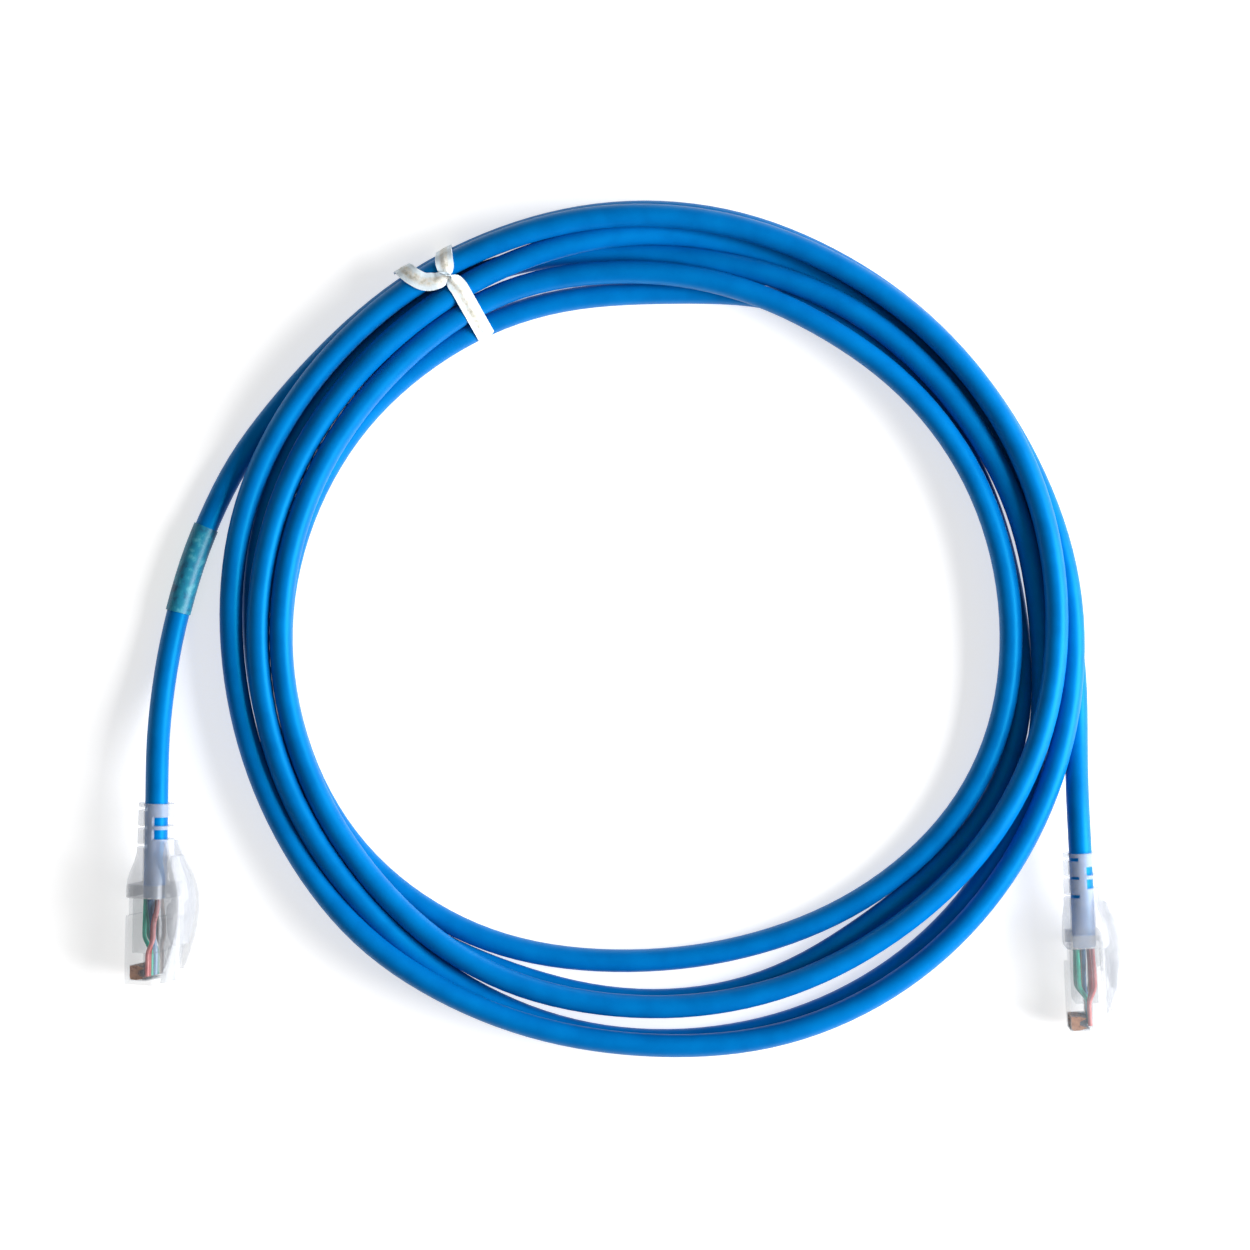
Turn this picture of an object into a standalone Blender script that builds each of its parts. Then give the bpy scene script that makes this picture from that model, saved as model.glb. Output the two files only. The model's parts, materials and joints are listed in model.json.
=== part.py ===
"""Ethernet patch cable: a coiled round jacket with a latching modular plug on each end.

Metres, +Z up, coil lying flat on Z = 0. Each plug end is built in a frame of its own:
+Y runs from the cable to the plug's nose, +Z points to the latch, and the origin is
where the cable enters the boot. An empty at each end places that frame in the world.
"""
import math

import bmesh
import bpy
from mathutils import Matrix, Vector

MM = 0.001
GAP = 0.3 * MM

# Cable jacket
CABLE_R = 2.5 * MM
JACKET_END = 20.5 * MM          # how far the jacket reaches into a plug end, from the boot's mouth
TAIL_STEP = 11.0 * MM           # spacing of the tube's points

# Coil: the outer shape of the wound turns
COIL_CENTRE = Vector((5.6, 0.0, 0.0)) * MM
COIL_INNER_R = 69.0 * MM
COIL_OUTER_R = 96.0 * MM
COIL_HEIGHT = 12.0 * MM
COIL_CORNER_R = 5.0 * MM
COIL_STEPS = 64

# Twist tie round the coil, at an angle counted clockwise from -X
TIE_ANGLE = math.radians(60.0)
TIE_WIDTH = 3.9 * MM
TIE_THICKNESS = 0.5 * MM
TIE_GROOVE_DEPTH = 1.1 * MM
TIE_GROOVE_WIDTH = 4.6 * MM
TIE_END_CLEARANCE = 0.35 * MM
TIE_END_START = 83.5 * MM       # radius where the free end leaves the band
TIE_END_FLAT = ((86.0, -0.1), (88.5, -2.0))     # radius and shift along the coil, millimetres
TIE_END_BEND = ((85, -4.2), (62, -5.8), (40, -7.0), (18, -8.0))  # angle round the edge, and shift

# Wrapped label on tail A: distances along the tail from the boot's mouth
LABEL_FROM = 42.0 * MM
LABEL_LENGTH = 19.5 * MM
LABEL_THICKNESS = 0.3 * MM

# Plug housing (plug-end frame)
NOSE_Y = 39.0 * MM
HOUSING_LENGTH = 21.46 * MM
HOUSING_REAR_Y = NOSE_Y - HOUSING_LENGTH
HOUSING_HALF_W = 5.84 * MM
FRONT_BLOCK_Y = 24.1 * MM
FRONT_LOW_Z = -4.1 * MM
FRONT_TOP_Z = 2.5 * MM
REAR_HALF_H = 3.3 * MM
CHANNEL_Y = 32.2 * MM           # where the wide cavity narrows to the wire channel
CHANNEL_END_Y = 37.7 * MM

# Contacts and conductors
WAYS = 8
PITCH = 1.02 * MM
CONTACT_THICKNESS = 0.32 * MM
SLOT_WIDTH = 0.56 * MM
CONTACT_BACK_Y = 35.2 * MM
CONTACT_FRONT_Y = 38.2 * MM
CONTACT_LOW_Z = -3.85 * MM
CONTACT_TOP_Z = -0.55 * MM
WIRE_R = 0.42 * MM
WIRE_STARTS = ((1.3, 1.5), (0.2, 1.7), (1.3, -1.4), (1.9, 0.0),      # x and z at the jacket's end
               (0.6, 0.2), (0.2, -1.9), (-1.2, 1.1), (-1.2, -0.9))
WIRE_ROW_Z = 0.2 * MM
WIRE_END_Y = 37.3 * MM

# Latch lever
LATCH_HINGE = Vector((0.0, 38.2, 3.1)) * MM
LATCH_THICKNESS = 1.1 * MM
LATCH_WIDE = 3.0 * MM
LATCH_NARROW = 1.7 * MM

# Boot and its snagless guard. Each slot: distance from the mouth and width in millimetres, and side
BOOT_FRONT_Y = 20.2 * MM
BOOT_BORE_R = CABLE_R + GAP
COLLAR_SLOTS = ((1.2, 0.8, -1), (3.8, 1.9, 1), (5.2, 0.7, -1), (6.6, 2.1, 1), (9.2, 0.8, -1))
CHEEK_THICKNESS = 1.0 * MM
CHEEK_STATIONS = (              # distance from the mouth, inner x, low z and top z, millimetres
    (8.0, 2.4, 1.5, 3.7), (10.9, 2.8, 1.2, 4.9), (13.6, 3.8, 2.6, 6.2), (16.3, 4.45, 3.8, 7.4),
    (19.0, 4.7, 3.8, 8.1), (21.7, 4.75, 3.8, 8.3), (24.5, 4.75, 3.8, 8.2), (27.2, 4.75, 3.8, 7.8),
    (29.9, 4.75, 3.8, 7.1), (32.6, 4.75, 3.8, 6.3), (35.0, 4.75, 3.9, 5.4), (36.2, 4.75, 4.0, 4.8),
)
GUARD_HINGE = Vector((0.0, 11.0, 5.3)) * MM
GUARD_THICKNESS = 1.0 * MM

# Plug ends: where each boot's mouth is and how the end lies. Yaw swings the nose towards
# +X, pitch dips it, roll turns the contact side up.
ENDS = {
    "a": {"mouth": (-101.57, -38.3, 8.6), "yaw": -1.4, "pitch": 2.5, "roll": 20.0},
    "b": {"mouth": (98.21, -49.0, 8.47), "yaw": 2.8, "pitch": 3.5, "roll": 0.0},
}

# Free tails, from just outside each boot's mouth to the coil, millimetres
TAIL_ROUTES = {
    "a": ((-101.7, -26.0, 7.2), (-100.7, -14.0, 4.6), (-99.0, -3.0, 3.3), (-96.3, 7.5, 3.2),
          (-93.4, 17.0, 3.2), (-89.1, 28.4, 3.0)),
    "b": ((97.6, -37.2, 7.4),),
}

COLOURS = {
    "jacket": ((0.0, 0.19, 0.64), 0.42, 0.0),
    "label": ((0.01, 0.30, 0.36), 0.55, 0.0),
    "tie": ((0.83, 0.85, 0.84), 0.5, 0.0),
    "clear_plastic": ((0.86, 0.90, 0.92), 0.12, 0.0),
    "boot_plastic": ((0.78, 0.83, 0.86), 0.35, 0.0),
    "gold": ((0.83, 0.47, 0.18), 0.25, 1.0),
    "wire_white_orange": ((0.85, 0.55, 0.36), 0.4, 0.0),
    "wire_orange": ((0.80, 0.20, 0.05), 0.4, 0.0),
    "wire_white_green": ((0.55, 0.78, 0.62), 0.4, 0.0),
    "wire_blue": ((0.05, 0.16, 0.60), 0.4, 0.0),
    "wire_white_blue": ((0.52, 0.66, 0.85), 0.4, 0.0),
    "wire_green": ((0.02, 0.33, 0.20), 0.4, 0.0),
    "wire_white_brown": ((0.70, 0.60, 0.52), 0.4, 0.0),
    "wire_brown": ((0.24, 0.11, 0.05), 0.4, 0.0),
}
WIRE_ORDER = ("white_orange", "orange", "white_green", "blue",
              "white_blue", "green", "white_brown", "brown")


# ---------------------------------------------------------------- scene and materials

def clear_scene():
    for item in list(bpy.data.objects):
        bpy.data.objects.remove(item, do_unlink=True)


def make_collection(name):
    group = bpy.data.collections.new(name)
    bpy.context.scene.collection.children.link(group)
    return group


def make_materials():
    made = {}
    for name, (colour, roughness, metallic) in COLOURS.items():
        material = bpy.data.materials.new(name)
        material.use_nodes = True
        shader = material.node_tree.nodes["Principled BSDF"]
        shader.inputs["Base Color"].default_value = (*colour, 1.0)
        shader.inputs["Roughness"].default_value = roughness
        shader.inputs["Metallic"].default_value = metallic
        material.diffuse_color = (*colour, 1.0)
        made[name] = material
    return made


def add_object(name, data, group, parent=None, material=None):
    item = bpy.data.objects.new(name, data)
    group.objects.link(item)
    item.parent = parent
    if material:
        data.materials.append(material)
    return item


def make_cutter(item):
    item.hide_render = True
    item.display_type = "WIRE"
    return item


def add_boolean(target, tool, operation="DIFFERENCE"):
    modifier = target.modifiers.new(tool.name, "BOOLEAN")
    modifier.operation = operation
    modifier.solver = "EXACT"
    modifier.object = tool


# ---------------------------------------------------------------- basic shapes

def box_mesh(name, low, high):
    bm = bmesh.new()
    bmesh.ops.create_cube(bm, size=1.0)
    low, high = Vector(low), Vector(high)
    bmesh.ops.scale(bm, vec=high - low, verts=bm.verts)
    bmesh.ops.translate(bm, vec=(low + high) / 2, verts=bm.verts)
    mesh = bpy.data.meshes.new(name)
    bm.to_mesh(mesh)
    bm.free()
    return mesh


def loft_mesh(name, sections, capped=True, smooth=True):
    """Skin a run of sections that all have the same number of points."""
    bm = bmesh.new()
    rings = [[bm.verts.new(point) for point in section] for section in sections]
    count = len(rings[0])
    for first, second in zip(rings, rings[1:]):
        for i in range(count):
            j = (i + 1) % count
            bm.faces.new((first[i], first[j], second[j], second[i]))
    if capped:
        bm.faces.new(rings[0])
        bm.faces.new(rings[-1])
    bmesh.ops.recalc_face_normals(bm, faces=bm.faces)
    mesh = bpy.data.meshes.new(name)
    bm.to_mesh(mesh)
    bm.free()
    if smooth:
        mesh.shade_smooth()
        mesh.set_sharp_from_angle(angle=math.radians(35))
    return mesh


def superellipse(half_w, low, high, power, steps):
    """Points of a rounded section in X and Z, from a circle (power 2) to nearly a box."""
    middle, half_h = (low + high) / 2, (high - low) / 2
    points = []
    for i in range(steps):
        angle = 2 * math.pi * (i + 0.5) / steps
        c, s = math.cos(angle), math.sin(angle)
        x = half_w * math.copysign(abs(c) ** (2 / power), c)
        z = middle + half_h * math.copysign(abs(s) ** (2 / power), s)
        points.append((x, z))
    return points


def catmull_rom(points, per_span=16):
    """A smooth curve through the given points, as a dense list of positions."""
    padded = [2 * points[0] - points[1], *points, 2 * points[-1] - points[-2]]
    curve = []
    for p0, p1, p2, p3 in zip(padded, padded[1:], padded[2:], padded[3:]):
        for k in range(per_span):
            t = k / per_span
            curve.append(0.5 * (2 * p1 + (p2 - p0) * t + (2 * p0 - 5 * p1 + 4 * p2 - p3) * t ** 2
                                + (3 * p1 - p0 - 3 * p2 + p3) * t ** 3))
    curve.append(points[-1].copy())
    return curve


def resample(curve, start, length, step):
    """Evenly spaced points along a stretch of a dense curve."""
    count = max(2, round(length / step)) + 1
    targets = [start + length * i / (count - 1) for i in range(count)]
    picked, walked, index = [], 0.0, 0
    for target in targets:
        while index < len(curve) - 2 and walked + (curve[index + 1] - curve[index]).length < target:
            walked += (curve[index + 1] - curve[index]).length
            index += 1
        span = (curve[index + 1] - curve[index]).length
        picked.append(curve[index].lerp(curve[index + 1], (target - walked) / span))
    return picked


def curve_length(curve):
    return sum((b - a).length for a, b in zip(curve, curve[1:]))


def tube_curve(name, points, radius, rounds):
    data = bpy.data.curves.new(name, "CURVE")
    data.dimensions = "3D"
    spline = data.splines.new("POLY")
    spline.points.add(len(points) - 1)
    for slot, point in zip(spline.points, points):
        slot.co = (*point, 1.0)
    data.bevel_depth = radius
    data.bevel_resolution = rounds
    data.use_fill_caps = True
    return data


def outline_curve(name, outlines, half_thickness):
    """A flat plate in the curve's own XY plane; a second outline inside the first is a hole."""
    data = bpy.data.curves.new(name, "CURVE")
    data.dimensions = "2D"
    data.fill_mode = "BOTH"
    data.extrude = half_thickness
    for outline in outlines:
        spline = data.splines.new("POLY")
        spline.points.add(len(outline) - 1)
        for slot, (x, y) in zip(spline.points, outline):
            slot.co = (x, y, 0.0, 1.0)
        spline.use_cyclic_u = True
    return data


def curve_to_mesh(item):
    """Replace a curve object with a mesh object of the same name, place and parent."""
    bpy.context.view_layer.update()
    evaluated = item.evaluated_get(bpy.context.evaluated_depsgraph_get())
    mesh = bpy.data.meshes.new_from_object(evaluated)
    bm = bmesh.new()
    bm.from_mesh(mesh)
    bmesh.ops.remove_doubles(bm, verts=bm.verts, dist=0.00001)
    bmesh.ops.recalc_face_normals(bm, faces=bm.faces)
    bm.to_mesh(mesh)
    bm.free()
    name, world, parent = item.name, item.matrix_world.copy(), item.parent
    groups = list(item.users_collection)
    bpy.data.objects.remove(item, do_unlink=True)
    made = bpy.data.objects.new(name, mesh)
    for group in groups:
        group.objects.link(made)
    made.parent = parent
    made.matrix_world = world
    return made


# ---------------------------------------------------------------- coil and tie

def coil_outline(inset=0.0, corner_steps=4):
    """Section of the wound coil, radius across and height up, clockwise from the top outside."""
    corner = COIL_CORNER_R - inset
    inner, outer = COIL_INNER_R + inset, COIL_OUTER_R - inset
    low, high = inset, COIL_HEIGHT - inset
    centres = ((outer - corner, high - corner, 90), (outer - corner, low + corner, 0),
               (inner + corner, low + corner, -90), (inner + corner, high - corner, -180))
    points = []
    for x, z, start in centres:
        for k in range(corner_steps + 1):
            angle = math.radians(start - 90 * k / corner_steps)
            points.append((x + corner * math.cos(angle), z + corner * math.sin(angle)))
    return points


def tie_matrix():
    """Frame at the tie: its X runs outwards along the coil's radius and its Y runs up."""
    outwards = Vector((-math.cos(TIE_ANGLE), math.sin(TIE_ANGLE), 0.0))
    up = Vector((0.0, 0.0, 1.0))
    along = outwards.cross(up)
    matrix = Matrix((outwards, up, along)).transposed().to_4x4()
    matrix.translation = COIL_CENTRE
    return matrix


def build_coil(group, cutters, material):
    """The wound turns as one turned ring, pinched by a groove where the tie grips them."""
    outline = coil_outline()
    mesh = bpy.data.meshes.new("cable_coil")
    edges = [(i, (i + 1) % len(outline)) for i in range(len(outline))]
    mesh.from_pydata([(x, 0.0, z) for x, z in outline], edges, [])
    coil = add_object("cable_coil", mesh, group, material=material)
    coil.location = COIL_CENTRE
    turn = coil.modifiers.new("turn", "SCREW")
    turn.steps = COIL_STEPS
    turn.render_steps = COIL_STEPS
    turn.use_merge_vertices = True
    turn.merge_threshold = 0.00001
    turn.use_smooth_shade = True
    outlines = (coil_outline(-1.0 * MM), coil_outline(TIE_GROOVE_DEPTH))
    groove = add_object("tie_groove", outline_curve("tie_groove", outlines, TIE_GROOVE_WIDTH / 2), cutters)
    groove.matrix_world = tie_matrix()
    add_boolean(coil, make_cutter(curve_to_mesh(groove)))


def build_tie(group, cutters, material):
    """Flat twist tie: a loop in the coil's groove and a free end bent over the outer edge."""
    outer = TIE_GROOVE_DEPTH - GAP - TIE_THICKNESS
    outlines = (coil_outline(outer), coil_outline(outer + TIE_THICKNESS))
    tie = add_object("twist_tie", outline_curve("twist_tie", outlines, TIE_WIDTH / 2), group)
    tie.matrix_world = tie_matrix()
    tie = curve_to_mesh(tie)
    tie.data.materials.append(material)

    rise = TIE_END_CLEARANCE + TIE_THICKNESS / 2
    up = Vector((0.0, 1.0, 0.0))
    path = [(Vector((TIE_END_START, COIL_HEIGHT - outer - TIE_THICKNESS / 2, 0.0)), up)]
    for radius, shift in TIE_END_FLAT:
        path.append((Vector((radius * MM, COIL_HEIGHT + rise, shift * MM)), up))
    corner = Vector((COIL_OUTER_R - COIL_CORNER_R, COIL_HEIGHT - COIL_CORNER_R, 0.0))
    for degrees, shift in TIE_END_BEND:
        angle = math.radians(degrees)
        normal = Vector((math.cos(angle), math.sin(angle), 0.0))
        path.append((corner + normal * (COIL_CORNER_R + rise) + Vector((0.0, 0.0, shift * MM)), normal))
    sections = []
    for i, (point, normal) in enumerate(path):
        heading = (path[min(i + 1, len(path) - 1)][0] - path[max(i - 1, 0)][0]).normalized()
        w = heading.cross(normal).normalized() * TIE_WIDTH / 2
        t = normal * TIE_THICKNESS / 2
        sections.append([point - w - t, point + w - t, point + w + t, point - w + t])
    end = add_object("tie_end", loft_mesh("tie_end", sections, smooth=False), cutters)
    end.matrix_world = tie_matrix()
    add_boolean(tie, make_cutter(end), "UNION")


# ---------------------------------------------------------------- plug end frames

def end_matrix(end):
    """Plug-end frame in the world: nose towards -Y, latch towards +X, lying on its side."""
    side_lying = Matrix(((0, 0, 1), (0, -1, 0), (1, 0, 0))).to_4x4()
    place = Matrix.Translation(Vector(end["mouth"]) * MM)
    yaw = Matrix.Rotation(math.radians(end["yaw"]), 4, "Z")
    pitch = Matrix.Rotation(math.radians(end["pitch"]), 4, "X")
    roll = Matrix.Rotation(math.radians(end["roll"]), 4, "Y")
    return place @ yaw @ pitch @ side_lying @ roll


def end_empty(name, matrix, group):
    empty = bpy.data.objects.new(name, None)
    empty.empty_display_size = 0.01
    group.objects.link(empty)
    empty.matrix_world = matrix
    return empty


def hinge_empty(name, parent, place, group):
    empty = bpy.data.objects.new(name, None)
    empty.empty_display_size = 0.004
    group.objects.link(empty)
    empty.parent = parent
    empty.location = place
    return empty


# ---------------------------------------------------------------- jacket tails and label

def tail_curve(end_name):
    """Centreline of one tail, from inside the plug to where it meets the coil."""
    matrix = end_matrix(ENDS[end_name])
    inside = [matrix @ Vector((0.0, y * MM, 0.0)) for y in (20.5, 13.0, 5.5, -2.0, -5.5)]
    outside = [Vector(point) * MM for point in TAIL_ROUTES[end_name]]
    return catmull_rom(inside + outside)


def build_tail(end_name, group, material):
    curve = tail_curve(end_name)
    points = resample(curve, 0.0, curve_length(curve), TAIL_STEP)
    name = "cable_tail_" + end_name
    add_object(name, tube_curve(name, points, CABLE_R, 2), group, material=material)


def build_label(group, material):
    """A thin sleeve wrapped on tail A, open at both ends."""
    stretch = resample(tail_curve("a"), JACKET_END + LABEL_FROM, LABEL_LENGTH, 4.0 * MM)
    up = Vector((0.0, 0.0, 1.0))
    sections = []
    for i, point in enumerate(stretch):
        heading = (stretch[min(i + 1, len(stretch) - 1)] - stretch[max(i - 1, 0)]).normalized()
        side = heading.cross(up).normalized()
        rise = side.cross(heading)
        ring = []
        for k in range(16):
            angle = 2 * math.pi * k / 16
            ring.append(point + (CABLE_R + GAP) * (math.cos(angle) * side + math.sin(angle) * rise))
        sections.append(ring)
    label = add_object("tail_label", loft_mesh("tail_label", sections, capped=False), group,
                       material=material)
    shell = label.modifiers.new("shell", "SOLIDIFY")
    shell.thickness = LABEL_THICKNESS
    shell.offset = 1.0


# ---------------------------------------------------------------- plug housing

def way_x(i):
    """Sideways place of a way, the first of them towards +X."""
    return ((WAYS - 1) / 2 - i) * PITCH


def build_housing(end_name, frame, group, cutters, material):
    """Clear body: a deep front block for the contacts and a shallower hollow rear for the cable."""
    name = "plug_housing_" + end_name
    w = HOUSING_HALF_W
    front = box_mesh(name, (-w, FRONT_BLOCK_Y, FRONT_LOW_Z), (w, NOSE_Y, FRONT_TOP_Z))
    housing = add_object(name, front, group, frame, material)
    rear = box_mesh("rear", (-w, HOUSING_REAR_Y, -REAR_HALF_H), (w, FRONT_BLOCK_Y + 1 * MM, REAR_HALF_H))
    add_boolean(housing, make_cutter(add_object("rear_" + end_name, rear, cutters, frame)), "UNION")
    hollows = (
        ("cable_entry", (-4.9, 17.0, -2.85), (4.9, 24.3, 2.85)),
        ("wire_fan", (-4.9, 24.0, -2.85), (4.9, CHANNEL_Y / MM, 2.05)),
        ("wire_channel", (-4.3, 32.0, -0.45), (4.3, CHANNEL_END_Y / MM, 0.85)),
    )
    for label, low, high in hollows:
        mesh = box_mesh(label, Vector(low) * MM, Vector(high) * MM)
        add_boolean(housing, make_cutter(add_object(label + "_" + end_name, mesh, cutters, frame)))
    for i in range(WAYS):
        x = way_x(i)
        low = (x - SLOT_WIDTH / 2, CONTACT_BACK_Y - 0.15 * MM, FRONT_LOW_Z - 1 * MM)
        high = (x + SLOT_WIDTH / 2, CONTACT_FRONT_Y + 0.15 * MM, WIRE_ROW_Z)
        slot = box_mesh("contact_slot", low, high)
        cutter = add_object("contact_slot_%s_%d" % (end_name, i + 1), slot, cutters, frame)
        add_boolean(housing, make_cutter(cutter))


def build_contacts(end_name, frame, group, material):
    """Eight gold blades, each with a rounded nose corner and two prongs under its wire."""
    back, front = CONTACT_BACK_Y, CONTACT_FRONT_Y
    low, top = CONTACT_LOW_Z, CONTACT_TOP_Z
    radius = 0.6 * MM
    outline = [(back, low)]
    for k in range(4):
        angle = math.radians(-90 + 30 * k)
        outline.append((front - radius + radius * math.cos(angle), low + radius + radius * math.sin(angle)))
    notch = 1.5 * MM
    outline += [(front, top - notch), (front - 0.5 * MM, top), (front - 1.1 * MM, top - notch),
                (back + 1.1 * MM, top - notch), (back + 0.5 * MM, top), (back, top - notch)]
    to_side = Matrix(((0, 0, 1), (1, 0, 0), (0, 1, 0))).to_4x4()
    for i in range(WAYS):
        name = "contact_%s_%d" % (end_name, i + 1)
        data = outline_curve(name, (outline,), CONTACT_THICKNESS / 2)
        blade = add_object(name, data, group, frame, material)
        blade.matrix_local = Matrix.Translation((way_x(i), 0.0, 0.0)) @ to_side


def conductor_path(i):
    """From its pair at the jacket's cut end to its place in one flat row over the contacts."""
    start_x, start_z = WIRE_STARTS[i][0] * MM, WIRE_STARTS[i][1] * MM
    end_x = way_x(i)
    start_y, spread_y, down_y, level_y = JACKET_END + GAP, 27.0 * MM, 21.5 * MM, 32.5 * MM
    points = []
    steps = 9
    for k in range(steps + 1):
        y = start_y + (level_y - start_y) * k / steps
        across = min(1.0, (y - start_y) / (spread_y - start_y))
        down = max(0.0, (y - down_y) / (level_y - down_y))
        across = across * across * (3 - 2 * across)
        down = down * down * (3 - 2 * down)
        points.append(Vector((start_x + (end_x - start_x) * across, y,
                              start_z + (WIRE_ROW_Z - start_z) * down)))
    points.append(Vector((end_x, WIRE_END_Y, WIRE_ROW_Z)))
    return points


def build_conductors(end_name, frame, group, materials):
    for i, colour in enumerate(WIRE_ORDER):
        name = "conductor_%s_%d" % (end_name, i + 1)
        data = tube_curve(name, conductor_path(i), WIRE_R, 1)
        add_object(name, data, group, frame, materials["wire_" + colour])


def build_latch(end_name, frame, group, material):
    """Lever from the nose back over the housing, wide to its locking shoulders, then a narrow tab."""
    pivot = hinge_empty("latch_%s_hinge" % end_name, frame, LATCH_HINGE, group)
    stations = ((38.6, 3.65, LATCH_WIDE), (37.4, 3.9, LATCH_WIDE), (34.0, 4.65, LATCH_WIDE),
                (30.7, 5.4, LATCH_WIDE), (30.4, 5.45, LATCH_NARROW), (27.0, 6.15, LATCH_NARROW),
                (24.0, 6.7, LATCH_NARROW))
    sections = []
    for y, z, half_w in stations:
        centre = Vector((0.0, y * MM, z * MM)) - LATCH_HINGE
        half_t = LATCH_THICKNESS / 2
        sections.append([centre + Vector((-half_w, 0, -half_t)), centre + Vector((half_w, 0, -half_t)),
                         centre + Vector((half_w, 0, half_t)), centre + Vector((-half_w, 0, half_t))])
    name = "plug_latch_" + end_name
    add_object(name, loft_mesh(name, sections, smooth=False), group, pivot, material)


# ---------------------------------------------------------------- boot

def build_boot(end_name, frame, group, cutters, material):
    """Soft sleeve: a slotted round collar, a shell over the housing's rear, and two cheeks."""
    stations = ((0.0, 3.8, -3.8, 3.8, 2.0), (10.6, 4.1, -4.1, 4.1, 2.0), (12.6, 5.0, -4.3, 4.3, 2.5),
                (14.8, 6.5, -4.4, 4.5, 3.4), (16.6, 7.2, -4.4, 4.7, 4.6), (BOOT_FRONT_Y / MM, 7.25, -4.4, 4.7, 5.4))
    sections = []
    for y, half_w, low, high, power in stations:
        ring = superellipse(half_w * MM, low * MM, high * MM, power, 24)
        sections.append([Vector((x, y * MM, z)) for x, z in ring])
    name = "boot_" + end_name
    boot = add_object(name, loft_mesh(name, sections), group, frame, material)

    for side in (-1, 1):
        sections = []
        for y, inner, low, top in CHEEK_STATIONS:
            near, far = side * inner * MM, side * (inner * MM + CHEEK_THICKNESS)
            sections.append([Vector((near, y * MM, low * MM)), Vector((far, y * MM, low * MM)),
                             Vector((far, y * MM, top * MM)), Vector((near, y * MM, top * MM))])
        cheek = add_object("cheek_%s_%s" % (end_name, "low" if side < 0 else "high"),
                           loft_mesh("cheek", sections, smooth=False), cutters, frame)
        add_boolean(boot, make_cutter(cheek), "UNION")

    bore = bmesh.new()
    bmesh.ops.create_cone(bore, cap_ends=True, segments=16, radius1=BOOT_BORE_R, radius2=BOOT_BORE_R,
                          depth=40 * MM, matrix=Matrix.Rotation(math.radians(90), 4, "X"))
    mesh = bpy.data.meshes.new("cable_bore")
    bore.to_mesh(mesh)
    bore.free()
    add_boolean(boot, make_cutter(add_object("cable_bore_" + end_name, mesh, cutters, frame)))

    w, h = HOUSING_HALF_W + GAP, REAR_HALF_H + GAP
    pocket = box_mesh("housing_pocket", (-w, HOUSING_REAR_Y - GAP, -h), (w, BOOT_FRONT_Y + 2 * MM, h))
    add_boolean(boot, make_cutter(add_object("housing_pocket_" + end_name, pocket, cutters, frame)))

    for i, (y, width, side) in enumerate(COLLAR_SLOTS):
        near, far = 0.8 * side * MM, 6.0 * side * MM
        low = (-6 * MM, (y - width / 2) * MM, min(near, far))
        high = (6 * MM, (y + width / 2) * MM, max(near, far))
        slot = box_mesh("collar_slot", low, high)
        cutter = add_object("collar_slot_%s_%d" % (end_name, i + 1), slot, cutters, frame)
        add_boolean(boot, make_cutter(cutter))


def build_guard(end_name, frame, group, material):
    """Snagless tongue between the boot's cheeks, from its root over the latch's free end."""
    pivot = hinge_empty("guard_%s_hinge" % end_name, frame, GUARD_HINGE, group)
    stations = ((11.0, 5.3, 2.4, 0.3), (13.0, 6.1, 3.2, 1.2), (16.0, 7.3, 4.0, 1.6), (19.0, 8.15, 4.3, 2.0),
                (20.6, 8.3, 4.35, 2.0), (22.0, 8.4, 4.4, 3.1), (24.5, 8.15, 4.4, 2.8),
                (27.5, 7.5, 4.2, 2.0), (30.2, 6.85, 3.6, 0.8))
    half_t = GUARD_THICKNESS / 2
    across = 8
    sections = []
    for y, z, half_w, drop in stations:
        arch = []
        for k in range(across + 1):
            u = 2 * k / across - 1
            arch.append(Vector((half_w * u, y, z - drop * u ** 4)) * MM - GUARD_HINGE)
        top = [point + Vector((0, 0, half_t)) for point in arch]
        under = [point - Vector((0, 0, half_t)) for point in reversed(arch)]
        sections.append(top + under)
    name = "boot_guard_" + end_name
    add_object(name, loft_mesh(name, sections), group, pivot, material)


# ---------------------------------------------------------------- assembly

def build_end(end_name, group, cutters, materials):
    frame = end_empty("end_%s_frame" % end_name, end_matrix(ENDS[end_name]), group)
    build_housing(end_name, frame, group, cutters, materials["clear_plastic"])
    build_contacts(end_name, frame, group, materials["gold"])
    build_conductors(end_name, frame, group, materials)
    build_latch(end_name, frame, group, materials["clear_plastic"])
    build_boot(end_name, frame, group, cutters, materials["boot_plastic"])
    build_guard(end_name, frame, group, materials["boot_plastic"])


def main():
    clear_scene()
    group = make_collection("ethernet_patch_cable")
    cutters = make_collection("cutters")
    materials = make_materials()
    build_coil(group, cutters, materials["jacket"])
    build_tie(group, cutters, materials["tie"])
    for end_name in ENDS:
        build_tail(end_name, group, materials["jacket"])
        build_end(end_name, group, cutters, materials)
    build_label(group, materials["label"])


main()
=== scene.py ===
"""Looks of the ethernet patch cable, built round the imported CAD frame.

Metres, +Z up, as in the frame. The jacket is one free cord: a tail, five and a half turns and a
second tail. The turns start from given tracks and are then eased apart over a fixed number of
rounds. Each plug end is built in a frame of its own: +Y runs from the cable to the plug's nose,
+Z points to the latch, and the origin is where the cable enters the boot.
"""
import json
import math

import bmesh
import bpy
import numpy as np
from mathutils import Matrix, Vector


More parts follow.
